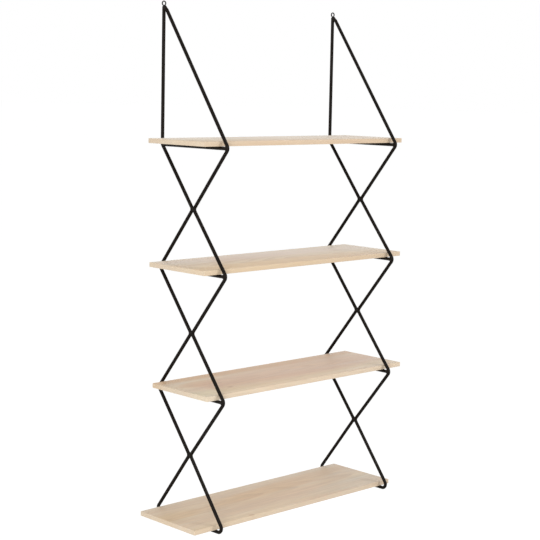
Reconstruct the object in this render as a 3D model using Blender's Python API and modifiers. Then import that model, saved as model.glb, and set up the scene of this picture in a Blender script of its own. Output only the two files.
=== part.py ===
"""Wall shelf: two zigzag frames of bent round rod, hung from rings, with four loose boards laid on their rails.

Metres, +Z up, the wall is the plane y = 0 and the shelf stands in front of it, towards -Y.
The origin is midway between the centres of the two hanging rings, on the wall.
Each frame lies in a plane x = constant, so its rods are drawn as (y, z) points in that plane.
"""

import math

import bmesh
import bpy
from mathutils import Matrix, Vector

# Boards
BOARD_LENGTH = 0.600
BOARD_DEPTH = 0.178
BOARD_THICKNESS = 0.010
BOARD_EDGE_EASE = 0.0005
# How far a centred board reaches beyond the middle of each frame
BOARD_OVERHANG = 0.044
# How far each board, from the top one down, lies to the right of the middle of the frames
BOARD_REST_SHIFTS = (-0.006, 0.000, 0.012, -0.017)

# Frames
ROD_DIAMETER = 0.0075
TOP_RISE = 0.296
BAY_HEIGHTS = (0.262, 0.262, 0.276)
# Where the two rods of a frame kiss: below the rail above, and as a share of the frame's depth from its rear
KISS_DROP = 0.131
KISS_SHARE = 0.493
BEND_RADIUS = 0.010
KISS_BEND_RADIUS = 0.008
HOOK_RADIUS = 0.0095
REAR_KNEE_RISE = 0.011
REAR_FOOT_RADIUS = 0.007
# The end of the front rod, bent over on to the top of the rear rod
TOP_TURN_REACH = 0.0095
TOP_TURN_RADIUS = 0.009
TOP_END_SLOPE = math.radians(35)

# Hanging rings
RING_INNER_DIAMETER = 0.0062
RING_WIRE_DIAMETER = 0.0028

# Gaps that keep touching pieces apart
SEAT_GAP = 0.0003
WELD_GAP = 0.0003
BOARD_CLEARANCE = 0.0012

# Fineness of the meshes
ARC_STEP = math.radians(13)
ROD_BEVEL_RESOLUTION = 4
RAIL_SIDES = 12
RING_SEGMENTS = 24
RING_SIDES = 10

FRAME_SPACING = BOARD_LENGTH - 2 * BOARD_OVERHANG
ROD_RADIUS = ROD_DIAMETER / 2
REAR_LINE = -ROD_RADIUS
RING_RADIUS = (RING_INNER_DIAMETER + RING_WIRE_DIAMETER) / 2
RING_BOTTOM = -(RING_INNER_DIAMETER / 2 + RING_WIRE_DIAMETER)
BOARD_TOP_RISE = ROD_RADIUS + SEAT_GAP + BOARD_THICKNESS
SHELF_COUNT = len(BAY_HEIGHTS) + 1


def rail_level(shelf):
    """Height of the centre line of the rails under a shelf, counted from 0 at the top."""
    return -TOP_RISE - sum(BAY_HEIGHTS[:shelf])


def kiss_level(bay):
    """Height at which the front and rear rods kiss, in the bay under the shelf of that number."""
    return rail_level(bay) - KISS_DROP


def bend_inset(radius, slope_above, slope_below):
    """How far a bend's middle lies inside its corner, for two straights at slopes from the vertical."""
    half_turn = (math.atan(slope_above) + math.atan(slope_below)) / 2
    return radius * (1 / math.cos(half_turn) - 1)


def bent_path(corners):
    """Points (y, z) of a rod's centre line through corners (y, z, bend radius), with an arc at each bend."""
    points = [Vector(corners[0][:2])]
    for before, corner, after in zip(corners, corners[1:], corners[2:]):
        tip = Vector(corner[:2])
        back = (Vector(before[:2]) - tip).normalized()
        ahead = (Vector(after[:2]) - tip).normalized()
        turn = math.pi - back.angle(ahead)
        run = corner[2] * math.tan(turn / 2)
        middle = tip + (back + ahead).normalized() * corner[2] / math.cos(turn / 2)
        first = tip + back * run - middle
        last = tip + ahead * run - middle
        steps = max(2, math.ceil(turn / ARC_STEP))
        for step in range(steps + 1):
            share = step / steps
            weight_first = math.sin((1 - share) * turn) / math.sin(turn)
            weight_last = math.sin(share * turn) / math.sin(turn)
            points.append(middle + first * weight_first + last * weight_last)
    points.append(Vector(corners[-1][:2]))
    return points


def kiss_corner(depth, bay, side):
    """Corner of a rod's bend at a kiss; side is 1 for the rear rod and -1 for the front rod."""
    slope = KISS_SHARE * depth / KISS_DROP
    inset = bend_inset(KISS_BEND_RADIUS, slope, slope)
    off = ROD_RADIUS + WELD_GAP / 2 - inset
    y = REAR_LINE - KISS_SHARE * depth + side * off
    return (y, kiss_level(bay), KISS_BEND_RADIUS)


def rear_path(depth):
    """Centre line of a rear rod: straight down from the ring, zigzag, then forward as half of the lowest rail."""
    corners = [(REAR_LINE, RING_BOTTOM - WELD_GAP), (REAR_LINE, rail_level(0), BEND_RADIUS)]
    for bay, height in enumerate(BAY_HEIGHTS):
        corners.append(kiss_corner(depth, bay, 1))
        if bay < len(BAY_HEIGHTS) - 1:
            reach = KISS_SHARE * depth
            inset = bend_inset(BEND_RADIUS, reach / (height - KISS_DROP), reach / KISS_DROP)
            corners.append((REAR_LINE + inset, rail_level(bay + 1), BEND_RADIUS))
    bottom = rail_level(SHELF_COUNT - 1)
    corners.append((REAR_LINE, bottom + REAR_KNEE_RISE, BEND_RADIUS))
    corners.append((REAR_LINE, bottom, REAR_FOOT_RADIUS))
    corners.append((rail_middle(depth) + WELD_GAP / 2, bottom))
    return bent_path(corners)


def rail_middle(depth):
    """Where the front and rear rods meet end to end, halfway along the lowest rail."""
    return REAR_LINE - depth / 2


def front_line(depth):
    """Straight line on which the corners of the front bends lie."""
    return REAR_LINE - depth


def hook_corner(depth, start):
    """Corner of the hook at the foot of the front rod, whose front lines up with the bends above it."""
    reach = (1 - KISS_SHARE) * depth
    front = front_line(depth) + bend_inset(BEND_RADIUS, reach / KISS_DROP, reach / KISS_DROP)
    bottom = rail_level(SHELF_COUNT - 1)
    middle = Vector((front + HOOK_RADIUS, bottom + HOOK_RADIUS))
    to_middle = middle - Vector(start)
    swing = math.asin(HOOK_RADIUS / to_middle.length)
    angle = math.atan2(to_middle.y, to_middle.x) - swing
    run = (bottom - start[1]) / math.sin(angle)
    return (start[0] + run * math.cos(angle), bottom, HOOK_RADIUS)


def front_path(depth):
    """Centre line of a front rod: from the rear rod's top, zigzag, then hooked back as half of the lowest rail."""
    slope = depth / TOP_RISE
    turn_y = REAR_LINE - TOP_TURN_REACH
    turn_z = -TOP_TURN_REACH / slope
    end_run = TOP_TURN_REACH - ROD_RADIUS - WELD_GAP - ROD_RADIUS * math.sin(TOP_END_SLOPE)
    end = (turn_y + end_run, turn_z + end_run * math.tan(TOP_END_SLOPE))
    corners = [end, (turn_y, turn_z, TOP_TURN_RADIUS), (front_line(depth), rail_level(0), BEND_RADIUS)]
    for bay in range(len(BAY_HEIGHTS)):
        corners.append(kiss_corner(depth, bay, -1))
        if bay < len(BAY_HEIGHTS) - 1:
            corners.append((front_line(depth), rail_level(bay + 1), BEND_RADIUS))
    corners.append(hook_corner(depth, corners[-1][:2]))
    corners.append((rail_middle(depth) - WELD_GAP / 2, rail_level(SHELF_COUNT - 1)))
    return bent_path(corners)


def rod_face(path, low, high, side):
    """Furthest y that the rod reaches between two heights, towards the front (-1) or the rear (1)."""
    reach = []
    for first, last in zip(path, path[1:]):
        steps = max(1, math.ceil((last - first).length / (ROD_RADIUS / 4)))
        for step in range(steps + 1):
            point = first.lerp(last, step / steps)
            above = max(low - point.y, point.y - high, 0)
            if above < ROD_RADIUS:
                reach.append(point.x + side * math.sqrt(ROD_RADIUS**2 - above**2))
    return max(reach) if side > 0 else min(reach)


def board_space(depth):
    """Rear and front limits (y) between which a board clears the rods of a frame at every shelf but the last."""
    rear, front = [], []
    for shelf in range(SHELF_COUNT - 1):
        low = rail_level(shelf) + ROD_RADIUS + SEAT_GAP
        high = rail_level(shelf) + BOARD_TOP_RISE
        rear.append(rod_face(rear_path(depth), low, high, -1))
        front.append(rod_face(front_path(depth), low, high, 1))
    return min(rear) - BOARD_CLEARANCE, max(front) + BOARD_CLEARANCE


def frame_depth():
    """Depth of a frame, from rear to front line, at which the boards just fit; the rods' slope depends on it too."""
    depth = BOARD_DEPTH
    for _ in range(8):
        rear, front = board_space(depth)
        depth += BOARD_DEPTH - (rear - front)
    return depth


DEPTH = frame_depth()
BOARD_REAR, BOARD_FRONT = board_space(DEPTH)


def clear_scene():
    for thing in list(bpy.data.objects):
        bpy.data.objects.remove(thing, do_unlink=True)


def parts_collection():
    group = bpy.data.collections.new("zigzag_wall_shelf")
    bpy.context.scene.collection.children.link(group)
    return group


def painted_steel():
    material = bpy.data.materials.new("black_painted_steel")
    material.use_nodes = True
    shader = material.node_tree.nodes["Principled BSDF"]
    shader.inputs["Base Color"].default_value = (0.012, 0.011, 0.011, 1)
    shader.inputs["Metallic"].default_value = 0.0
    shader.inputs["Roughness"].default_value = 0.42
    return material


def pale_wood():
    material = bpy.data.materials.new("pale_wood")
    material.use_nodes = True
    shader = material.node_tree.nodes["Principled BSDF"]
    shader.inputs["Base Color"].default_value = (0.68, 0.52, 0.37, 1)
    shader.inputs["Metallic"].default_value = 0.0
    shader.inputs["Roughness"].default_value = 0.6
    return material


def rod_curve(name, path, material):
    """A rod's centre line as a poly curve with a round section and filled ends."""
    curve = bpy.data.curves.new(name, "CURVE")
    curve.dimensions = "3D"
    curve.bevel_depth = ROD_RADIUS
    curve.bevel_resolution = ROD_BEVEL_RESOLUTION
    curve.use_fill_caps = True
    spline = curve.splines.new("POLY")
    spline.points.add(len(path) - 1)
    for point, place in zip(spline.points, path):
        point.co = (0, place.x, place.y, 1)
    spline.use_smooth = True
    curve.materials.append(material)
    return curve


def rail_mesh(name, length, material):
    """A straight rod along +Y, from y = 0 to its length, with a flat facet on top for the board."""
    mesh = bpy.data.meshes.new(name)
    model = bmesh.new()
    across = ROD_RADIUS / math.cos(math.pi / RAIL_SIDES)
    flat_up = Matrix.Rotation(math.pi / RAIL_SIDES, 4, "Z")
    along_y = Matrix.Translation((0, length / 2, 0)) @ Matrix.Rotation(math.pi / 2, 4, "X") @ flat_up
    bmesh.ops.create_cone(
        model, cap_ends=True, segments=RAIL_SIDES, radius1=across, radius2=across, depth=length, matrix=along_y
    )
    model.to_mesh(mesh)
    model.free()
    mesh.shade_smooth()
    mesh.set_sharp_from_angle(angle=math.radians(50))
    mesh.materials.append(material)
    return mesh


def board_mesh(material):
    """A board with square ends, centred in x and y, its underside at z = 0."""
    mesh = bpy.data.meshes.new("shelf_board")
    model = bmesh.new()
    size = Matrix.Diagonal((BOARD_LENGTH, BOARD_DEPTH, BOARD_THICKNESS, 1))
    bmesh.ops.create_cube(model, size=1, matrix=Matrix.Translation((0, 0, BOARD_THICKNESS / 2)) @ size)
    model.to_mesh(mesh)
    model.free()
    mesh.materials.append(material)
    return mesh


def add_object(name, data, group, parent=None, place=(0, 0, 0)):
    thing = bpy.data.objects.new(name, data)
    group.objects.link(thing)
    thing.parent = parent
    thing.location = place
    return thing


def add_ring(name, group, parent, material):
    """A thin wire ring standing in the plane of the wall."""
    bpy.ops.mesh.primitive_torus_add(
        major_segments=RING_SEGMENTS,
        minor_segments=RING_SIDES,
        major_radius=RING_RADIUS,
        minor_radius=RING_WIRE_DIAMETER / 2,
        location=(0, REAR_LINE, 0),
        rotation=(math.pi / 2, 0, 0),
    )
    ring = bpy.context.active_object
    ring.name = name
    for other in list(ring.users_collection):
        other.objects.unlink(ring)
    group.objects.link(ring)
    ring.parent = parent
    ring.data.materials.append(material)
    ring.data.shade_smooth()


def add_frame(side, x, shapes, group, material):
    """One rigid frame: two zigzag rods, the upper rails between them and the hanging ring."""
    frame = add_object(f"{side}_frame", None, group, place=(x, 0, 0))
    add_object(f"{side}_rear_rod", shapes["rear"], group, frame)
    add_object(f"{side}_front_rod", shapes["front"], group, frame)
    for shelf, (start, mesh) in enumerate(shapes["rails"]):
        add_object(f"{side}_cross_rail_{shelf + 1}", mesh, group, frame, (0, start, rail_level(shelf)))
    add_ring(f"{side}_hanging_ring", group, frame, material)


def frame_shapes(material):
    """The rods and rails that both frames share."""
    rear = rear_path(DEPTH)
    front = front_path(DEPTH)
    rails = []
    for shelf in range(SHELF_COUNT - 1):
        low = rail_level(shelf) - ROD_RADIUS
        high = rail_level(shelf) + ROD_RADIUS
        end = rod_face(rear, low, high, -1) - WELD_GAP
        start = rod_face(front, low, high, 1) + WELD_GAP
        rails.append((start, rail_mesh("cross_rail", end - start, material)))
    return {
        "rear": rod_curve("rear_rod", rear, material),
        "front": rod_curve("front_rod", front, material),
        "rails": rails,
    }


def add_boards(group, material):
    """Four loose boards, each resting on the rails of both frames at its own place along them."""
    mesh = board_mesh(material)
    for shelf, shift in enumerate(BOARD_REST_SHIFTS):
        seat = rail_level(shelf) + ROD_RADIUS + SEAT_GAP
        place = (shift, (BOARD_REAR + BOARD_FRONT) / 2, seat)
        board = add_object(f"shelf_board_{shelf + 1}", mesh, group, place=place)
        ease = board.modifiers.new("eased_edges", "BEVEL")
        ease.width = BOARD_EDGE_EASE
        ease.segments = 1
        ease.limit_method = "ANGLE"


def main():
    clear_scene()
    group = parts_collection()
    steel = painted_steel()
    shapes = frame_shapes(steel)
    add_frame("left", -FRAME_SPACING / 2, shapes, group, steel)
    add_frame("right", FRAME_SPACING / 2, shapes, group, steel)
    add_boards(group, pale_wood())


main()
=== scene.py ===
"""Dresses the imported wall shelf: painted steel frames with their welds, and four pale boards.

Metres, +Z up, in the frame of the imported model: the wall is y = 0, and the shelf hangs in front
of it, towards -Y. Each frame lies in a plane x = constant, so its rods are worked out as (y, z)
points in that plane.
"""

import math

import bmesh
import bpy
from bpy.props import FloatProperty, FloatVectorProperty, IntProperty, PointerProperty
from mathutils import Matrix, Vector, noise


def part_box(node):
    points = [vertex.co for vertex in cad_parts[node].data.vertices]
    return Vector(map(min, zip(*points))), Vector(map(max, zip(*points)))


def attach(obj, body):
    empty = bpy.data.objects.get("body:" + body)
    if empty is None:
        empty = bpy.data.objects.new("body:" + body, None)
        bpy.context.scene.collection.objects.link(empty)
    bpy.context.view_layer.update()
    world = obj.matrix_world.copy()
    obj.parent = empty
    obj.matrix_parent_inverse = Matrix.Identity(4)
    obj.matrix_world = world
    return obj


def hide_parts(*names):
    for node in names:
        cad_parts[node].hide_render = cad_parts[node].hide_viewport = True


bl_info = {
    "name": "Zigzag Wall Shelf",
    "version": (1, 0, 0),
    "blender": (4, 5, 0),
    "location": "View3D > Sidebar > Wall Shelf",
    "description": "Builds the rods, welds, rings and boards of a wall shelf around its packed model",
    "category": "Object",
}

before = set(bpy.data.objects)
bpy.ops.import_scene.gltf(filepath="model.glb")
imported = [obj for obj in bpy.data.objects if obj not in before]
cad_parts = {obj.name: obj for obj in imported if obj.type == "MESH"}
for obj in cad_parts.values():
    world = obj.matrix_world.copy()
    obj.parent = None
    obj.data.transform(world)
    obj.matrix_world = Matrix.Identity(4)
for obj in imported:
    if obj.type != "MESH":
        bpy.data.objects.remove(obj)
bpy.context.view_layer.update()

SIDES = ("left", "right")
BOARDS = (1, 2, 3, 4)
RAILS = (1, 2, 3)
MM = 0.001
WHITE = (1, 1, 1, 1)


def middle(node):
    low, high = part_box(node)
    return (low + high) / 2


def board_box(board):
    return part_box(f"shelf_board_{board}")


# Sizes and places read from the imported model
ROD_RADIUS = (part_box("left_cross_rail_1")[1].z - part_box("left_cross_rail_1")[0].z) / 2
REAR_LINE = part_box("left_rear_rod")[1].y - ROD_RADIUS
ROD_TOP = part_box("left_rear_rod")[1].z
LEVELS = [middle(f"left_cross_rail_{rail}").z for rail in RAILS]
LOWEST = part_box("left_rear_rod")[0].z + ROD_RADIUS
LEVELS.append(LOWEST)
BAYS = range(len(RAILS))
RING_LOW, RING_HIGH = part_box("left_hanging_ring")
RING_WIRE_RADIUS = (RING_HIGH.y - RING_LOW.y) / 2
RING_RADIUS = (RING_HIGH.z - RING_LOW.z) / 2 - RING_WIRE_RADIUS

# How deep the end of a rod or rail sinks into the rod that it is welded to
SUNK = 0.4 * MM

# Nuggets of weld: half their size across the frame, from front to rear, and in height
KISS_WELD = (2.9 * MM, 2.6 * MM, 6.4 * MM)
FOOT_WELD = (3.35 * MM, 1.6 * MM, 3.35 * MM)
WEB_WELD = (2.2 * MM, 2.4 * MM, 2.4 * MM)
CROWN_WELD = (2.5 * MM, 2.5 * MM, 1.5 * MM)
# How far in front of the front rod's end and below it the web of weld lies
WEB_PLACE = (3.0 * MM, 4.6 * MM)

# Fillets of weld: how far each reaches along its rod, and how far it flares out at its foot
RAIL_FILLET = (5.0 * MM, 3.0 * MM)
COLLAR_FILLET = (3.0 * MM, 1.3 * MM)
# How far a fillet reaches back into the other rod, how far its sides bulge out and how much
# narrower its hidden end is
FILLET_ROOT = 3.0 * MM
FILLET_BULGE = 0.22 * MM
FILLET_TAPER = 0.4 * MM

# Steps of the meshes: a fillet's along and around, a nugget's from end to end and around, a
# ring's around and round its wire, and a board's across its rounded edge
FILLET_STEPS, FILLET_SIDES = 12, 28
NUGGET_STEPS, NUGGET_SIDES = 20, 24
RING_SEGMENTS, RING_SIDES = 64, 20
EDGE_STEPS = 3

# A rod's broken end edge, as a share of its radius
BROKEN_EDGE = 0.12

# How many bumps of unevenness a weld has in a metre
WELD_BUMPS = 900.0

# Edges that turn further than this stay sharp, on rods and boards and on welds
SHARP_TURN = math.radians(40)
WELD_SHARP_TURN = math.radians(80)

# Strength and depth in metres of the bumps of paint and wood
PAINT_BUMP = (0.40, 0.0001)
WOOD_BUMP = (0.12, 0.00018)

# Specular level of the paint on rods, and on the welds
ROD_SHINE = 0.09
WELD_SHINE = 0.14

# The even light from all round, and each lamp's name, place, size across and power in watts
SOFT_LIGHT = 0.55
LAMPS = (
    ("key_softbox", (2.9, -4.4, 1.8), 1.6, 98.0),
    ("fill_softbox", (-4.2, -2.8, 0.85), 3.2, 130.0),
)
LAMP_TARGET = Vector((0.0, -0.1, -0.6))

# Width of the camera's sensor in millimetres
SENSOR_WIDTH = 36.0

# The floor: half its width, its two pale greys, and the glow that whitens it for the camera, with
# the share of that glow
FLOOR_REACH = 80.0
FLOOR_GREYS = (0.93, 0.90)
FLOOR_GLOW = 1.31
FLOOR_GLOW_SHARE = 0.62


class SteelSettings(bpy.types.PropertyGroup):
    kiss_drop: FloatProperty(
        name="Kiss drop",
        description="Height from a rail down to the kiss of the two rods below it",
        default=0.131,
        unit="LENGTH",
    )
    kiss_share: FloatProperty(
        name="Kiss share",
        description="Where the rods kiss, as a share of the frame's depth from its rear",
        default=0.493,
    )
    bend_radius: FloatProperty(
        name="Bend radius",
        description="Radius of the rods' centre lines at the bends beside the boards",
        default=0.010,
        unit="LENGTH",
    )
    kiss_bend_radius: FloatProperty(
        name="Kiss bend radius",
        description="Radius of the rods' centre lines where they kiss",
        default=0.008,
        unit="LENGTH",
    )
    kiss_gap: FloatProperty(
        name="Kiss gap",
        description="Gap between the two rods at a kiss, filled by the weld",
        default=0.0003,
        unit="LENGTH",
    )
    hook_radius: FloatProperty(
        name="Hook radius",
        description="Radius of the front rod's hook under the lowest board",
        default=0.0095,
        unit="LENGTH",
    )
    knee_rise: FloatProperty(
        name="Knee rise",
        description="Height of the rear rod's last bend above the lowest rail",
        default=0.011,
        unit="LENGTH",
    )
    foot_radius: FloatProperty(
        name="Foot radius",
        description="Radius of the rear rod's bend into the lowest rail",
        default=0.007,
        unit="LENGTH",
    )
    top_reach: FloatProperty(
        name="Top reach",
        description="How far in front of the rear rod the front rod's top bends over",
        default=0.0095,
        unit="LENGTH",
    )
    top_radius: FloatProperty(
        name="Top radius",
        description="Radius of the front rod's bend below the ring",
        default=0.009,
        unit="LENGTH",
    )
    top_slope: FloatProperty(
        name="Top slope",
        description="Slope of the front rod's end where it meets the rear rod",
        default=math.radians(35),
        subtype="ANGLE",
    )
    rod_sides: IntProperty(
        name="Rod sides",
        description="Flat strips round a rod",
        default=24,
        min=8,
    )
    arc_step: FloatProperty(
        name="Arc step",
        description="Turn between two rings of points along a bend",
        default=math.radians(6),
        subtype="ANGLE",
    )
    paint_color: FloatVectorProperty(
        name="Paint",
        description="Colour of the black paint",
        subtype="COLOR",
        default=(0.0054, 0.0034, 0.0020),
        min=0,
        max=1,
    )
    # Also the colour that the welds are lifted towards, as a painted highlight
    thin_paint_and_highlight_color: FloatVectorProperty(
        name="Thin paint",
        description="Colour of the paint where it lies thinner",
        subtype="COLOR",
        default=(0.0092, 0.0069, 0.0052),
        min=0,
        max=1,
    )
    paint_grain: FloatProperty(
        name="Paint grain",
        description="Width of the fine bumps of the powder coat",
        default=0.0009,
        unit="LENGTH",
    )


class WoodSettings(bpy.types.PropertyGroup):
    edge_radius: FloatProperty(
        name="Edge radius",
        description="Rounding of the boards' edges",
        default=0.0007,
        unit="LENGTH",
    )
    early_color: FloatVectorProperty(
        name="Early wood",
        description="Colour of the pale spring wood",
        subtype="COLOR",
        default=(0.775, 0.622, 0.428),
        min=0,
        max=1,
    )
    late_color: FloatVectorProperty(
        name="Late wood",
        description="Colour of the darker edge of a growth ring",
        subtype="COLOR",
        default=(0.585, 0.418, 0.272),
        min=0,
        max=1,
    )
    warm_color: FloatVectorProperty(
        name="Warm streaks",
        description="Colour of the broad pinkish streaks",
        subtype="COLOR",
        default=(0.665, 0.478, 0.330),
        min=0,
        max=1,
    )
    pale_color: FloatVectorProperty(
        name="Pale streaks",
        description="Colour of the pale greyish streaks",
        subtype="COLOR",
        default=(0.750, 0.635, 0.490),
        min=0,
        max=1,
    )
    edge_color: FloatVectorProperty(
        name="Sawn edges",
        description="Colour of the long sawn edges",
        subtype="COLOR",
        default=(0.615, 0.485, 0.345),
        min=0,
        max=1,
    )
    end_color: FloatVectorProperty(
        name="End grain",
        description="Colour of the sawn ends",
        subtype="COLOR",
        default=(0.755, 0.635, 0.490),
        min=0,
        max=1,
    )
    knot_color: FloatVectorProperty(
        name="Knots",
        description="Colour of the small knots",
        subtype="COLOR",
        default=(0.400, 0.205, 0.110),
        min=0,
        max=1,
    )


class StageSettings(bpy.types.PropertyGroup):
    camera_place: FloatVectorProperty(
        name="Camera place",
        description="Where the camera stands",
        subtype="TRANSLATION",
        unit="LENGTH",
        default=(-2.1633, -2.3299, -0.1641),
    )
    camera_azimuth: FloatProperty(
        name="Azimuth",
        description="Turn of the camera round the shelf, from straight in front",
        default=math.radians(-43.782),
        subtype="ANGLE",
    )
    camera_elevation: FloatProperty(
        name="Elevation",
        description="How steeply the camera looks down",
        default=math.radians(6.265),
        subtype="ANGLE",
    )
    camera_roll: FloatProperty(
        name="Roll",
        description="Turn of the camera about its own line of sight",
        default=math.radians(1.131),
        subtype="ANGLE",
    )
    camera_lens: FloatProperty(
        name="Lens",
        description="Focal length in millimetres on a 36 mm sensor",
        default=93.97,
    )
    camera_shift: FloatProperty(
        name="Shift",
        description="Vertical shift of the frame, as a share of its width",
        default=-0.0580,
    )
    floor_level: FloatProperty(
        name="Floor level",
        description="Height of the floor below the hanging rings",
        default=-1.90,
        unit="LENGTH",
    )


class Wire:
    """A socket in a shader, so that what the shader works out reads as an expression."""

    def __init__(self, tree, socket=None):
        self.tree = tree
        self.socket = socket

    def node(self, kind, settings=None, inputs=None, output=0):
        """Any node: its settings first, then its sockets' values or wires; gives one of its outputs."""
        made = self.tree.nodes.new(kind)
        for name, value in (settings or {}).items():
            setattr(made, name, value)
        for name, value in (inputs or {}).items():
            if isinstance(value, Wire):
                self.tree.links.new(value.socket, made.inputs[name])
            else:
                made.inputs[name].default_value = value
        return Wire(self.tree, made.outputs[output])

    def math(self, operation, *values):
        inputs = dict(enumerate((self, *values)))
        return self.node("ShaderNodeMath", {"operation": operation}, inputs)

    def __add__(self, other):
        return self.math("ADD", other)

    __radd__ = __add__

    def __sub__(self, other):
        return self.math("SUBTRACT", other)

    def __rsub__(self, other):
        return self.node("ShaderNodeMath", {"operation": "SUBTRACT"}, {0: other, 1: self})

    def __mul__(self, other):
        return self.math("MULTIPLY", other)

    __rmul__ = __mul__

    def __truediv__(self, other):
        return self.math("DIVIDE", other)

    def __pow__(self, other):
        return self.math("POWER", other)

    def clamped(self):
        return self.node("ShaderNodeClamp", None, {0: self})

    def between(self, low, high):
        """0 below low, 1 above high and a smooth rise between them."""
        settings = {"interpolation_type": "SMOOTHSTEP"}
        return self.node("ShaderNodeMapRange", settings, {0: self, 1: low, 2: high})

    def scaled(self, factors):
        """This vector times a vector of factors."""
        return self.node("ShaderNodeVectorMath", {"operation": "MULTIPLY"}, {0: self, 1: factors})

    def moved(self, offset):
        """This vector plus an offset."""
        return self.node("ShaderNodeVectorMath", {"operation": "ADD"}, {0: self, 1: offset})

    def parts(self):
        """The x, y and z of this vector."""
        first = self.node("ShaderNodeSeparateXYZ", None, {0: self})
        made = first.socket.node
        return [Wire(self.tree, made.outputs[axis]) for axis in range(3)]

    def noise(self, scale, detail, roughness):
        """Soft noise from 0 to 1 at this place."""
        inputs = {"Vector": self, "Scale": scale, "Detail": detail, "Roughness": roughness}
        return self.node("ShaderNodeTexNoise", None, inputs)

    def blended(self, first, second):
        """A colour from first to second as this value goes from 0 to 1."""
        settings = {"data_type": "RGBA"}
        # 6, 7 and output 2 are the sockets for colours
        return self.node("ShaderNodeMix", settings, {0: self, 6: first, 7: second}, output=2)


def new_material(name):
    """A material with its output and a Principled shader; gives both and a wire to build with."""
    material = bpy.data.materials.new(name)
    material.use_nodes = True
    tree = material.node_tree
    shader = tree.nodes["Principled BSDF"]
    return material, shader, Wire(tree)


def bumped(height, strength, depth):
    """A surface's normal, bent by a height from 0 to 1 that stands for a depth in metres."""
    inputs = {"Strength": strength, "Distance": depth, "Height": height}
    return height.node("ShaderNodeBump", None, inputs)


def connect(wire, shader, socket):
    wire.tree.links.new(wire.socket, shader.inputs[socket])


def opaque(color):
    return (color[0], color[1], color[2], 1)


# Black powder coat


def steel_material(settings, name, weld):
    """Satin black powder coat: fine bumps, slow drifts of gloss and thinner paint; rougher on welds, and
    lighter there by a painted highlight.
    """
    material, shader, start = new_material(name)
    place = start.node("ShaderNodeTexCoord", output="Object")
    grain = place.noise(1 / settings.paint_grain, 3.0, 0.55)
    drift = place.noise(22.0, 3.0, 0.6)
    specks = place.noise(900.0, 1.0, 0.4).between(0.70, 0.78)
    thin_paint_and_weld_highlight = drift.between(0.35, 0.75) * 0.7 + grain.between(0.5, 0.8) * 0.3
    # Specks of thinner paint, and on the welds a painted highlight that lifts them towards the thin
    # paint's colour
    thin_paint_and_weld_highlight = (thin_paint_and_weld_highlight + specks * 0.4 + weld * 0.5).clamped()
    color = thin_paint_and_weld_highlight.blended(opaque(settings.paint_color), opaque(settings.thin_paint_and_highlight_color))
    roughness = 0.35 + weld * 0.08 + drift * 0.08 + grain * 0.06
    lumps = place.noise(420.0, 2.0, 0.6)
    height = grain * 0.6 + lumps * (0.5 + weld * 2.0)
    normal = bumped(height, *PAINT_BUMP)
    connect(color, shader, "Base Color")
    connect(roughness, shader, "Roughness")
    connect(normal, shader, "Normal")
    shader.inputs["Specular IOR Level"].default_value = WELD_SHINE if weld else ROD_SHINE
    shader.inputs["Specular Tint"].default_value = (1.0, 0.99, 0.97, 1)
    return material


# Pale wood

# For each board: where the pith ran, across and below it, and how it tilts along the board; the
# width of a growth ring; how far the grain wanders; its place in the noise; its knots (x, y, radius)
# from its middle; and its broad tints: the middle (x, y) of each, its reach along and across the
# board, how it slants, and its effect on red, green and blue
BOARD_GRAIN = {
    1: {
        "pith": (0.020, -0.046),
        "tilt": (0.05, 0.060),
        "ring": 0.0052,
        "wander": 0.020,
        "seed": 3.1,
        "knots": ((0.165, 0.030, 0.004),),
        "tints": (
            ((0.02, -0.080), (0.34, 0.022), 0.0, (1.00, 0.95, 0.92)),
            ((-0.20, 0.030), (0.16, 0.050), 0.05, (1.00, 1.03, 1.05)),
        ),
    },
    2: {
        "pith": (-0.035, -0.070),
        "tilt": (-0.05, 0.075),
        "ring": 0.0060,
        "wander": 0.026,
        "seed": 11.7,
        "knots": (),
        "tints": (
            ((-0.02, 0.042), (0.36, 0.040), -0.03, (1.01, 0.99, 1.07)),
            ((0.00, -0.058), (0.50, 0.038), 0.01, (1.02, 0.96, 0.87)),
            ((-0.24, 0.036), (0.09, 0.034), 0.0, (0.99, 1.05, 1.09)),
        ),
    },
    3: {
        "pith": (0.012, -0.040),
        "tilt": (0.04, -0.055),
        "ring": 0.0055,
        "wander": 0.024,
        "seed": 23.4,
        "knots": ((-0.194, -0.042, 0.0050), (0.262, -0.086, 0.0050)),
        "tints": (
            ((0.02, 0.086), (0.62, 0.038), 0.0, (0.90, 0.71, 0.50)),
            ((0.20, 0.040), (0.24, 0.060), -0.02, (0.97, 0.91, 0.81)),
            ((0.06, 0.000), (0.42, 0.068), 0.02, (0.96, 0.87, 0.89)),
            ((0.05, -0.082), (0.60, 0.020), 0.0, (1.07, 1.09, 1.14)),
            ((-0.23, 0.024), (0.07, 0.026), 0.10, (0.96, 0.87, 0.80)),
            ((-0.29, -0.030), (0.06, 0.070), 0.0, (1.04, 1.12, 1.17)),
        ),
    },
    4: {
        "pith": (0.018, -0.052),
        "tilt": (-0.07, -0.050),
        "ring": 0.0066,
        "wander": 0.034,
        "seed": 37.9,
        "knots": ((-0.135, -0.085, 0.0050),),
        "tints": (
            ((0.09, 0.039), (0.29, 0.033), 0.093, (0.98, 0.91, 0.80)),
            ((-0.27, 0.010), (0.09, 0.028), 0.03, (0.98, 0.94, 0.86)),
            ((0.02, -0.056), (0.50, 0.046), 0.0, (0.99, 1.00, 1.05)),
            ((0.21, -0.052), (0.16, 0.040), 0.05, (0.98, 1.04, 1.07)),
        ),
    },
}


def length_of(across, up):
    return (across * across + up * up) ** 0.5


def knot_masks(x, y, knots):
    """A wide mask where the grain swerves round knots and a tight one for the knots, if there are any."""
    swerve, core = None, None
    for knot_x, knot_y, radius in knots:
        away = length_of((x - knot_x) * 0.55, y - knot_y)
        near = 1 - away.between(radius * 0.8, radius * 5.0)
        dark = 1 - away.between(radius * 0.35, radius * 1.25)
        swerve = near if swerve is None else swerve + near
        core = dark if core is None else core + dark
    return swerve, core


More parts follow.
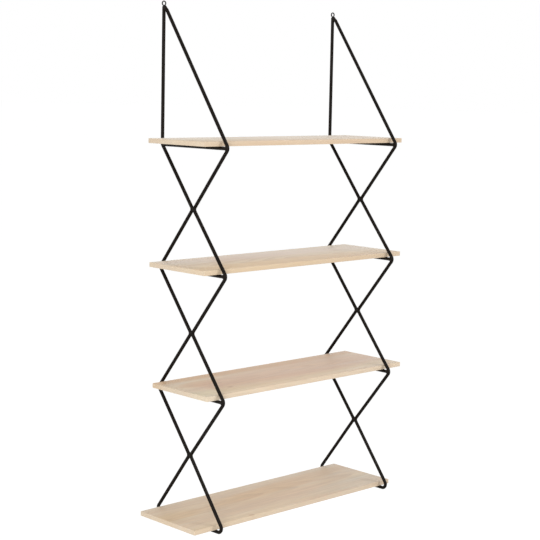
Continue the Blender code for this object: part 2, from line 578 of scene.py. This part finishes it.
def tint_mask(x, y, tint):
    """How deep a place lies in a broad tint, whose ends and sides fade."""
    (tint_x, tint_y), (along, across), slant, _ = tint
    away_x = (x - tint_x) / along
    away_y = (y - (x - tint_x) * slant - tint_y) / across
    return 1 - length_of(away_x, away_y).between(0.55, 1.10)


def wood_material(board, settings):
    """Pale wood: growth rings round a tilted pith, streaks along the grain, broad tints and knots."""
    grain = BOARD_GRAIN[board]
    low, high = board_box(board)
    center = (low + high) / 2
    material, shader, start = new_material(f"pale_wood_{board}")
    place = start.node("ShaderNodeTexCoord", output="Object").moved(-center)
    x, y, z = place.parts()
    seeded = place.moved((grain["seed"], grain["seed"] * 0.37, grain["seed"] * 0.71))

    # Growth rings. Each noise is stretched along the board: its factors are its waves in a metre
    slow = seeded.scaled((2.6, 9.0, 9.0)).noise(1.0, 2.0, 0.5)
    ripple = seeded.scaled((11.0, 34.0, 34.0)).noise(1.0, 2.0, 0.5)
    wander = (slow - 0.5) * grain["wander"] + (ripple - 0.5) * 0.0045
    swerve, core = knot_masks(x, y, grain["knots"])
    across = y + wander - x * grain["tilt"][0] - grain["pith"][0]
    up = z + wander * 0.5 - x * grain["tilt"][1] - grain["pith"][1]
    radius = length_of(across, up)
    if swerve is not None:
        radius = radius + swerve * 0.007
    uneven = seeded.scaled((1.5, 28.0, 28.0)).noise(1.0, 1.0, 0.5)
    rings = (radius / grain["ring"] + uneven * 0.9).math("FRACT")
    late = rings.between(0.25, 0.93) * (1 - rings.between(0.94, 1.0))
    patch = seeded.scaled((3.0, 14.0, 14.0)).moved((4.0, 0.0, 7.0)).noise(1.0, 3.0, 0.55)
    strength = patch.between(0.30, 0.75)

    # Streaks, fibres and pores along the grain, with broad warm and pale stretches
    streak = seeded.scaled((5.0, 170.0, 170.0)).noise(1.0, 3.0, 0.6)
    fibre = seeded.scaled((26.0, 900.0, 900.0)).noise(1.0, 2.0, 0.6)
    pores = seeded.scaled((95.0, 2100.0, 2100.0)).noise(1.0, 1.0, 0.4).between(0.66, 0.76)
    warm = seeded.scaled((1.8, 16.0, 16.0)).moved((9.0, 2.0, 0.0)).noise(1.0, 2.0, 0.5)
    pale = seeded.scaled((4.0, 60.0, 60.0)).moved((2.0, 5.0, 1.0)).noise(1.0, 3.0, 0.6)

    ringed = late * (0.15 + strength * 0.45)
    color = ringed.blended(opaque(settings.early_color), opaque(settings.late_color))
    color = (warm.between(0.36, 0.70) * 0.52).blended(color, opaque(settings.warm_color))
    color = (pale.between(0.50, 0.72) * 0.55).blended(color, opaque(settings.pale_color))
    mottle = seeded.scaled((24.0, 120.0, 120.0)).moved((0.0, 3.0, 6.0)).noise(1.0, 2.0, 0.6)
    shade = 0.862 + streak * 0.19 + (mottle - 0.5) * 0.20 + (fibre - 0.5) * 0.08 - pores * 0.06
    color = color.scaled(shade)
    if core is not None:
        color = (core * 0.42).blended(color, opaque(settings.knot_color))

    # Sawn ends and long edges, then the broad tints
    facing = start.node("ShaderNodeTexCoord", output="Normal").parts()
    end = facing[0].math("ABSOLUTE").between(0.6, 0.9)
    edge = facing[1].math("ABSOLUTE").between(0.6, 0.9)
    rear_edge = facing[1].between(0.6, 0.9)
    color = (edge * 0.60).blended(color, opaque(settings.edge_color))
    color = (end * 0.52).blended(color, opaque(settings.end_color))
    drawn = y + wander * 0.8 + (streak - 0.5) * 0.014
    for tint in grain["tints"]:
        tinted = tint_mask(x, drawn, tint) * (1 - end * 0.7 - rear_edge * 0.6)
        color = color.scaled(tinted.blended(WHITE, opaque(tint[3])))

    roughness = 0.46 + streak * 0.10 + pores * 0.12 + end * 0.12
    height = streak * 0.5 + fibre * 0.5 - pores * 0.9 - late * 0.35
    normal = bumped(height, *WOOD_BUMP)
    connect(color, shader, "Base Color")
    connect(roughness, shader, "Roughness")
    connect(normal, shader, "Normal")
    shader.inputs["Specular IOR Level"].default_value = 0.50
    shader.inputs["Sheen Weight"].default_value = 0.30
    shader.inputs["Sheen Roughness"].default_value = 0.30
    return material


# The rods' centre lines


def bend_inset(radius, slope_above, slope_below):
    """How far a bend's middle lies inside its corner, for two straights at slopes from the vertical."""
    half_turn = (math.atan(slope_above) + math.atan(slope_below)) / 2
    return radius * (1 / math.cos(half_turn) - 1)


def bent_path(corners, arc_step):
    """Points (y, z) of a centre line through corners (y, z, bend radius), with an arc at each bend."""
    points = [Vector(corners[0][:2])]
    for before, corner, after in zip(corners, corners[1:], corners[2:]):
        tip = Vector(corner[:2])
        back = (Vector(before[:2]) - tip).normalized()
        ahead = (Vector(after[:2]) - tip).normalized()
        turn = math.pi - back.angle(ahead)
        run = corner[2] * math.tan(turn / 2)
        center = tip + (back + ahead).normalized() * corner[2] / math.cos(turn / 2)
        first = tip + back * run - center
        last = tip + ahead * run - center
        steps = max(3, math.ceil(turn / arc_step))
        for step in range(steps + 1):
            share = step / steps
            weight_first = math.sin((1 - share) * turn) / math.sin(turn)
            weight_last = math.sin(share * turn) / math.sin(turn)
            points.append(center + first * weight_first + last * weight_last)
    points.append(Vector(corners[-1][:2]))
    return points


class FrameLines:
    """The corners and levels that the rods, rails and welds of both frames share."""

    def __init__(self, steel):
        self.steel = steel
        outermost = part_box("left_front_rod")[0].y + ROD_RADIUS
        self.depth = REAR_LINE - outermost
        # The depth and the front bends' inset depend on each other, and soon settle
        for _ in range(8):
            above = self.depth / -LEVELS[0]
            inset = bend_inset(steel.bend_radius, above, self.kiss_reach() / steel.kiss_drop)
            self.depth = REAR_LINE - outermost + inset
        self.front = REAR_LINE - self.depth
        self.kiss_y = REAR_LINE - self.kiss_reach()
        self.rail_middle = REAR_LINE - self.depth / 2

    def kiss_reach(self):
        return self.steel.kiss_share * self.depth

    def kiss_level(self, bay):
        return LEVELS[bay] - self.steel.kiss_drop

    def kiss_corner(self, bay, side):
        slope = self.kiss_reach() / self.steel.kiss_drop
        inset = bend_inset(self.steel.kiss_bend_radius, slope, slope)
        off = ROD_RADIUS + self.steel.kiss_gap / 2 - inset
        return (self.kiss_y + side * off, self.kiss_level(bay), self.steel.kiss_bend_radius)

    def rear_inset(self, bay):
        """How far the rear bend under a bay lies inside its corner."""
        reach = self.kiss_reach()
        rise = LEVELS[bay] - LEVELS[bay + 1] - self.steel.kiss_drop
        return bend_inset(self.steel.bend_radius, reach / rise, reach / self.steel.kiss_drop)

    def front_inset(self, bay):
        """How far the front bend over a bay lies inside its corner."""
        reach = self.depth - self.kiss_reach()
        above = self.depth / -LEVELS[0]
        if bay > 0:
            above = reach / (LEVELS[bay - 1] - LEVELS[bay] - self.steel.kiss_drop)
        return bend_inset(self.steel.bend_radius, above, reach / self.steel.kiss_drop)

    def rear_path(self):
        radius = self.steel.bend_radius
        corners = [(REAR_LINE, ROD_TOP), (REAR_LINE, LEVELS[0], radius)]
        for bay in BAYS:
            corners.append(self.kiss_corner(bay, 1))
            if bay != BAYS[-1]:
                corners.append((REAR_LINE + self.rear_inset(bay), LEVELS[bay + 1], radius))
        corners.append((REAR_LINE, LOWEST + self.steel.knee_rise, radius))
        corners.append((REAR_LINE, LOWEST, self.steel.foot_radius))
        corners.append((self.rail_middle, LOWEST))
        return bent_path(corners, self.steel.arc_step)

    def hook_corner(self, start):
        """Corner of the hook at the front rod's foot, whose front lines up with the bends above it."""
        radius = self.steel.hook_radius
        slope = (self.depth - self.kiss_reach()) / self.steel.kiss_drop
        front = self.front + bend_inset(self.steel.bend_radius, slope, slope)
        center = Vector((front + radius, LOWEST + radius))
        to_center = center - Vector(start)
        angle = math.atan2(to_center.y, to_center.x) - math.asin(radius / to_center.length)
        run = (LOWEST - start[1]) / math.sin(angle)
        return (start[0] + run * math.cos(angle), LOWEST, radius)

    def top_corner(self):
        slope = self.depth / -LEVELS[0]
        reach = self.steel.top_reach
        return Vector((REAR_LINE - reach, -reach / slope))

    def top_end(self, sunk):
        """The front rod's upper end, run on into the rear rod until it lies that far inside its face."""
        corner = self.top_corner()
        run = self.steel.top_reach - ROD_RADIUS + sunk
        return corner + Vector((run, run * math.tan(self.steel.top_slope)))

    def front_path(self):
        radius = self.steel.bend_radius
        top = self.top_corner()
        corners = [tuple(self.top_end(SUNK)), (top.x, top.y, self.steel.top_radius)]
        corners.append((self.front, LEVELS[0], radius))
        for bay in BAYS:
            corners.append(self.kiss_corner(bay, -1))
            if bay != BAYS[-1]:
                corners.append((self.front, LEVELS[bay + 1], radius))
        corners.append(self.hook_corner(corners[-1][:2]))
        corners.append((self.rail_middle, LOWEST))
        return bent_path(corners, self.steel.arc_step)

    def rail_feet(self, bay):
        """Where the rail over a bay meets the inner faces of the front and rear bends."""
        front = self.front + self.front_inset(bay) + ROD_RADIUS
        if bay > 0:
            return front, REAR_LINE - ROD_RADIUS
        slope = self.kiss_reach() / self.steel.kiss_drop
        return front, REAR_LINE - bend_inset(self.steel.bend_radius, 0, slope) - ROD_RADIUS


# Meshes


def finish_mesh(name, model, material, sharp=SHARP_TURN):
    """Turns a bmesh into a smooth-shaded object in the scene."""
    bmesh.ops.recalc_face_normals(model, faces=model.faces)
    mesh = bpy.data.meshes.new(name)
    model.to_mesh(mesh)
    model.free()
    mesh.shade_smooth()
    mesh.set_sharp_from_angle(angle=sharp)
    mesh.materials.append(material)
    piece = bpy.data.objects.new(name, mesh)
    bpy.context.scene.collection.objects.link(piece)
    return piece


def close_rings(model, rings):
    """Joins rings of points into a skin and closes its ends. An end may be a ring of a single point."""
    for ring, other in zip(rings, rings[1:]):
        count = max(len(ring), len(other))
        for index in range(count):
            after = (index + 1) % count
            near = [ring[index % len(ring)], ring[after % len(ring)]]
            far = [other[after % len(other)], other[index % len(other)]]
            model.faces.new(tuple(dict.fromkeys(near + far)))
    for end in (rings[0], rings[-1]):
        if len(end) > 1:
            model.faces.new(end)


def tube(name, path, x, radius, sides, material):
    """A round rod along a path of (y, z) points in the plane of a frame, with softly broken end edges."""
    model = bmesh.new()
    ease = BROKEN_EDGE * radius
    rings = []
    for index, point in enumerate(path):
        before = path[max(index - 1, 0)]
        after = path[min(index + 1, len(path) - 1)]
        ahead = (after - before).normalized()
        out = Vector((-ahead.y, ahead.x))
        spots = [(point, radius)]
        if index == 0:
            spots = [(point, radius - ease), (point + ahead * ease, radius)]
        if index == len(path) - 1:
            spots = [(point - ahead * ease, radius), (point, radius - ease)]
        for spot, size in spots:
            ring = []
            for step in range(sides):
                angle = math.tau * step / sides
                side = out * size * math.cos(angle)
                off = size * math.sin(angle)
                ring.append(model.verts.new((x + off, spot.x + side.x, spot.y + side.y)))
            rings.append(ring)
    close_rings(model, rings)
    return finish_mesh(name, model, material)


def uneven(place, amount):
    """A small steady unevenness of a weld at a place."""
    return 1 + amount * noise.noise(place * WELD_BUMPS)


def weld_nugget(name, center, halves, material, ripples=5):
    """A small nugget of weld between or on rods, rippled along its height."""
    model = bmesh.new()
    rings = []
    for step in range(NUGGET_STEPS + 1):
        tilt = math.pi * step / NUGGET_STEPS
        height = math.cos(tilt)
        ripple = 1 + 0.05 * math.cos(height * math.pi * ripples)
        sides = NUGGET_SIDES if 0 < step < NUGGET_STEPS else 1
        ring = []
        for turn in range(sides):
            angle = math.tau * turn / NUGGET_SIDES
            across = math.sin(tilt) * math.cos(angle) * ripple
            ahead = math.sin(tilt) * math.sin(angle)
            spot = Vector((across * halves[0], ahead * halves[1], height * halves[2]))
            ring.append(model.verts.new(Vector(center) + spot * uneven(spot, 0.08)))
        rings.append(ring)
    close_rings(model, rings)
    return finish_mesh(name, model, material, WELD_SHARP_TURN)


def weld_fillet(name, foot, ahead, x, size, material):
    """A fillet of weld round a rod's end that meets another rod: widest at its foot, then thinning."""
    model = bmesh.new()
    out = Vector((-ahead.y, ahead.x))
    reach, flare = size
    rings = []
    for step in range(FILLET_STEPS + 1):
        share = step / FILLET_STEPS
        along = -FILLET_ROOT + (FILLET_ROOT + reach) * step / FILLET_STEPS
        grow = (1 - max(along, 0) / reach) ** 2 * (1 + min(along, 0) / (2 * FILLET_ROOT))
        half_high = ROD_RADIUS + flare * grow
        swell = math.sin(math.pi * share**0.7)
        half_wide = ROD_RADIUS + FILLET_BULGE * swell - FILLET_TAPER * (1 - share) ** 4
        center = foot + ahead * along
        ring = []
        for turn in range(FILLET_SIDES):
            angle = math.tau * turn / FILLET_SIDES
            side = out * half_high * math.cos(angle)
            spot = Vector((half_wide * math.sin(angle), side.x, side.y))
            spot *= uneven(spot + Vector((0, along, 0)), 0.03 * swell)
            ring.append(model.verts.new((x + spot.x, center.x + spot.y, center.y + spot.z)))
        rings.append(ring)
    close_rings(model, rings)
    return finish_mesh(name, model, material, WELD_SHARP_TURN)


def joined(name, pieces):
    """Several pieces as one object."""
    model = bmesh.new()
    for piece in pieces:
        model.from_mesh(piece.data)
    mesh = bpy.data.meshes.new(name)
    model.to_mesh(mesh)
    model.free()
    mesh.materials.append(pieces[0].data.materials[0])
    for piece in pieces:
        old = piece.data
        bpy.data.objects.remove(piece)
        bpy.data.meshes.remove(old)
    whole = bpy.data.objects.new(name, mesh)
    bpy.context.scene.collection.objects.link(whole)
    return whole


def to_frames(piece, *nodes):
    """The piece rides on the frames and stands for the given nodes."""
    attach(piece, "frames")
    if nodes:
        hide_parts(*nodes)


def frame_x(side):
    return middle(f"{side}_rear_rod").x


def settings_of(context):
    scene = context.scene
    return scene.shelf_steel, scene.shelf_wood, scene.shelf_stage


def shared_steel(settings, weld=False):
    name = "black_powder_coat_on_welds" if weld else "black_powder_coat"
    found = bpy.data.materials.get(name)
    return found or steel_material(settings, name, 1.0 if weld else 0.0)


class SHELF_OT_bend_rods(bpy.types.Operator):
    """Bends the front and rear rods of both frames"""

    bl_idname = "wall_shelf.bend_rods"
    bl_label = "Bend Rods"

    def execute(self, context):
        steel = settings_of(context)[0]
        lines = FrameLines(steel)
        paint = shared_steel(steel)
        for side in SIDES:
            for rod, path in (("front", lines.front_path()), ("rear", lines.rear_path())):
                name = f"{side}_{rod}_rod"
                piece = tube(f"{name}_steel", path, frame_x(side), ROD_RADIUS, steel.rod_sides, paint)
                to_frames(piece, name)
        return {"FINISHED"}


class SHELF_OT_fit_rails(bpy.types.Operator):
    """Fits the straight rails under the three upper boards"""

    bl_idname = "wall_shelf.fit_rails"
    bl_label = "Fit Rails"

    def execute(self, context):
        steel = settings_of(context)[0]
        lines = FrameLines(steel)
        paint = shared_steel(steel)
        for side in SIDES:
            for rail in RAILS:
                front, rear = lines.rail_feet(rail - 1)
                level = LEVELS[rail - 1]
                path = [Vector((front - SUNK, level)), Vector((rear + SUNK, level))]
                name = f"{side}_cross_rail_{rail}"
                piece = tube(f"{name}_steel", path, frame_x(side), ROD_RADIUS, steel.rod_sides, paint)
                to_frames(piece, name)
        return {"FINISHED"}


class SHELF_OT_form_rings(bpy.types.Operator):
    """Forms the thin wire rings that the frames hang from"""

    bl_idname = "wall_shelf.form_rings"
    bl_label = "Form Rings"

    def execute(self, context):
        steel = settings_of(context)[0]
        paint = shared_steel(steel)
        for side in SIDES:
            node = f"{side}_hanging_ring"
            bpy.ops.mesh.primitive_torus_add(
                major_segments=RING_SEGMENTS,
                minor_segments=RING_SIDES,
                major_radius=RING_RADIUS,
                minor_radius=RING_WIRE_RADIUS,
                location=middle(node),
                rotation=(math.pi / 2, 0, 0),
            )
            piece = context.active_object
            piece.name = f"{node}_steel"
            piece.data.transform(piece.matrix_world)
            piece.matrix_world = Matrix.Identity(4)
            piece.data.shade_smooth()
            piece.data.materials.append(paint)
            to_frames(piece, node)
        return {"FINISHED"}


class SHELF_OT_lay_welds(bpy.types.Operator):
    """Lays the welds at the kisses, the rails' ends, the lowest rail and the top"""

    bl_idname = "wall_shelf.lay_welds"
    bl_label = "Lay Welds"

    def execute(self, context):
        steel = settings_of(context)[0]
        lines = FrameLines(steel)
        paint = shared_steel(steel, weld=True)
        for side in SIDES:
            self.kiss_welds(side, lines, paint)
            self.rail_welds(side, lines, paint)
            self.top_welds(side, lines, paint)
        return {"FINISHED"}

    def kiss_welds(self, side, lines, paint):
        for bay in BAYS:
            center = (frame_x(side), lines.kiss_y, lines.kiss_level(bay))
            to_frames(weld_nugget(f"{side}_kiss_weld_{bay + 1}", center, KISS_WELD, paint))

    def rail_welds(self, side, lines, paint):
        x = frame_x(side)
        forward = Vector((1, 0))
        for bay in BAYS:
            front, rear = (Vector((foot, LEVELS[bay])) for foot in lines.rail_feet(bay))
            ends = [
                weld_fillet("front_end", front, forward, x, RAIL_FILLET, paint),
                weld_fillet("rear_end", rear, -forward, x, RAIL_FILLET, paint),
            ]
            to_frames(joined(f"{side}_rail_welds_{bay + 1}", ends))
        center = (x, lines.rail_middle, LOWEST)
        to_frames(weld_nugget(f"{side}_foot_weld", center, FOOT_WELD, paint, 1))

    def top_welds(self, side, lines, paint):
        x = frame_x(side)
        end = lines.top_end(0)
        ahead = (lines.top_corner() - end).normalized()
        collar = weld_fillet("collar", end, ahead, x, COLLAR_FILLET, paint)
        web_center = (x, end.x - WEB_PLACE[0], end.y - WEB_PLACE[1])
        web = weld_nugget("web", web_center, WEB_WELD, paint, 2)
        crown = weld_nugget("crown", (x, REAR_LINE, ROD_TOP), CROWN_WELD, paint, 1)
        to_frames(joined(f"{side}_top_weld", [collar, web, crown]))


class SHELF_OT_saw_boards(bpy.types.Operator):
    """Saws the four boards, eases their edges and gives each its own grain"""

    bl_idname = "wall_shelf.saw_boards"
    bl_label = "Saw Boards"

    def execute(self, context):
        wood = settings_of(context)[1]
        for board in BOARDS:
            low, high = board_box(board)
            model = bmesh.new()
            size = Matrix.Diagonal((*(high - low), 1))
            bmesh.ops.create_cube(model, size=1, matrix=Matrix.Translation((low + high) / 2) @ size)
            bmesh.ops.bevel(
                model,
                geom=model.edges[:],
                offset=wood.edge_radius,
                segments=EDGE_STEPS,
                profile=0.5,
                affect="EDGES",
            )
            piece = finish_mesh(f"board_{board}_wood", model, wood_material(board, wood))
            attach(piece, f"board_{board}")
            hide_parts(f"shelf_board_{board}")
        return {"FINISHED"}


class SHELF_OT_set_stage(bpy.types.Operator):
    """Sets the floor, the lamps, the white surroundings and the camera"""

    bl_idname = "wall_shelf.set_stage"
    bl_label = "Set Stage"

    def execute(self, context):
        stage = settings_of(context)[2]
        context.scene.view_settings.view_transform = "Standard"
        self.lay_floor(stage)
        self.surround(context)
        for name, place, size, watts in LAMPS:
            self.hang_lamp(context, name, Vector(place), size, watts)
        self.place_camera(context, stage)
        return {"FINISHED"}

    def lay_floor(self, stage):
        model = bmesh.new()
        bmesh.ops.create_grid(model, x_segments=8, y_segments=8, size=FLOOR_REACH)
        bmesh.ops.translate(model, verts=model.verts, vec=(0, 0, stage.floor_level))
        floor = finish_mesh("studio_floor", model, floor_material())

    def surround(self, context):
        """White where the camera and reflections look, and an even soft light on the shelf."""
        world = bpy.data.worlds.new("white_surroundings")
        context.scene.world = world
        world.use_nodes = True
        tree = world.node_tree
        tree.nodes.clear()
        start = Wire(tree)
        seen = seen_directly(start)
        plain = start.node("ShaderNodeBackground", None, {"Color": WHITE, "Strength": SOFT_LIGHT})
        white = start.node("ShaderNodeBackground", None, {"Color": WHITE, "Strength": 1.0})
        both = start.node("ShaderNodeMixShader", None, {0: seen, 1: plain, 2: white})
        output = tree.nodes.new("ShaderNodeOutputWorld")
        tree.links.new(both.socket, output.inputs["Surface"])

    def hang_lamp(self, context, name, place, size, watts):
        lamp = bpy.data.lights.new(name, "AREA")
        lamp.shape = "DISK"
        lamp.size = size
        lamp.energy = watts
        holder = bpy.data.objects.new(name, lamp)
        context.scene.collection.objects.link(holder)
        holder.location = place
        holder.rotation_euler = (LAMP_TARGET - place).to_track_quat("-Z", "Y").to_euler()

    def place_camera(self, context, stage):
        turn, rise, roll = stage.camera_azimuth, stage.camera_elevation, stage.camera_roll
        reach = math.cos(rise)
        back = Vector((math.sin(turn) * reach, -math.cos(turn) * reach, math.sin(rise)))
        level = Vector((math.cos(turn), math.sin(turn), 0))
        above = back.cross(level)
        right = level * math.cos(roll) + above * math.sin(roll)
        up = above * math.cos(roll) - level * math.sin(roll)
        data = bpy.data.cameras.new("photo_camera")
        data.sensor_width = SENSOR_WIDTH
        data.lens = stage.camera_lens
        data.shift_y = stage.camera_shift
        camera = bpy.data.objects.new("photo_camera", data)
        context.scene.collection.objects.link(camera)
        turned = Matrix((right, up, back)).transposed().to_4x4()
        camera.matrix_world = Matrix.Translation(Vector(stage.camera_place)) @ turned
        context.scene.camera = camera


def seen_directly(start):
    """1 for what the camera, a reflection or clear glass sees, and 0 for light on its way."""
    path = start.node("ShaderNodeLightPath")
    outputs = path.socket.node.outputs
    camera = Wire(start.tree, outputs["Is Camera Ray"])
    glossy = Wire(start.tree, outputs["Is Glossy Ray"])
    clear = Wire(start.tree, outputs["Is Transmission Ray"])
    return (camera + glossy + clear).clamped()


def floor_material():
    """A plain pale floor that looks white and still shows a soft shadow."""
    material, shader, start = new_material("pale_floor")
    place = start.node("ShaderNodeTexCoord", output="Object")
    cloud = place.noise(1.3, 2.0, 0.5)
    light, dark = ((grey, grey, grey, 1) for grey in FLOOR_GREYS)
    color = cloud.blended(light, dark)
    connect(color, shader, "Base Color")
    shader.inputs["Roughness"].default_value = 0.9
    shader.inputs["Specular IOR Level"].default_value = 0.0
    glow = start.node("ShaderNodeEmission", None, {"Color": WHITE, "Strength": FLOOR_GLOW})
    lit = Wire(start.tree, shader.outputs[0])
    share = seen_directly(start) * FLOOR_GLOW_SHARE
    both = start.node("ShaderNodeMixShader", None, {0: share, 1: lit, 2: glow})
    output = start.tree.nodes["Material Output"]
    start.tree.links.new(both.socket, output.inputs["Surface"])
    return material


class SHELF_PT_panel(bpy.types.Panel):
    """Lists the steps that build the shelf's looks"""

    bl_idname = "SHELF_PT_panel"
    bl_label = "Wall Shelf"
    bl_space_type = "VIEW_3D"
    bl_region_type = "UI"
    bl_category = "Wall Shelf"

    def draw(self, context):
        for step in STEPS:
            self.layout.operator(step.bl_idname)
        for settings in settings_of(context):
            box = self.layout.box()
            for name in settings.__annotations__:
                box.prop(settings, name)


STEPS = (
    SHELF_OT_bend_rods,
    SHELF_OT_fit_rails,
    SHELF_OT_form_rings,
    SHELF_OT_lay_welds,
    SHELF_OT_saw_boards,
    SHELF_OT_set_stage,
)
CLASSES = (SteelSettings, WoodSettings, StageSettings, *STEPS, SHELF_PT_panel)


def register():
    for item in CLASSES:
        bpy.utils.register_class(item)
    bpy.types.Scene.shelf_steel = PointerProperty(type=SteelSettings)
    bpy.types.Scene.shelf_wood = PointerProperty(type=WoodSettings)
    bpy.types.Scene.shelf_stage = PointerProperty(type=StageSettings)


def unregister():
    del bpy.types.Scene.shelf_stage
    del bpy.types.Scene.shelf_wood
    del bpy.types.Scene.shelf_steel
    for item in reversed(CLASSES):
        bpy.utils.unregister_class(item)


def main():
    register()
    bpy.ops.wall_shelf.bend_rods()
    bpy.ops.wall_shelf.fit_rails()
    bpy.ops.wall_shelf.form_rings()
    bpy.ops.wall_shelf.lay_welds()
    bpy.ops.wall_shelf.saw_boards()
    bpy.ops.wall_shelf.set_stage()


if __name__ == "__main__":
    main()
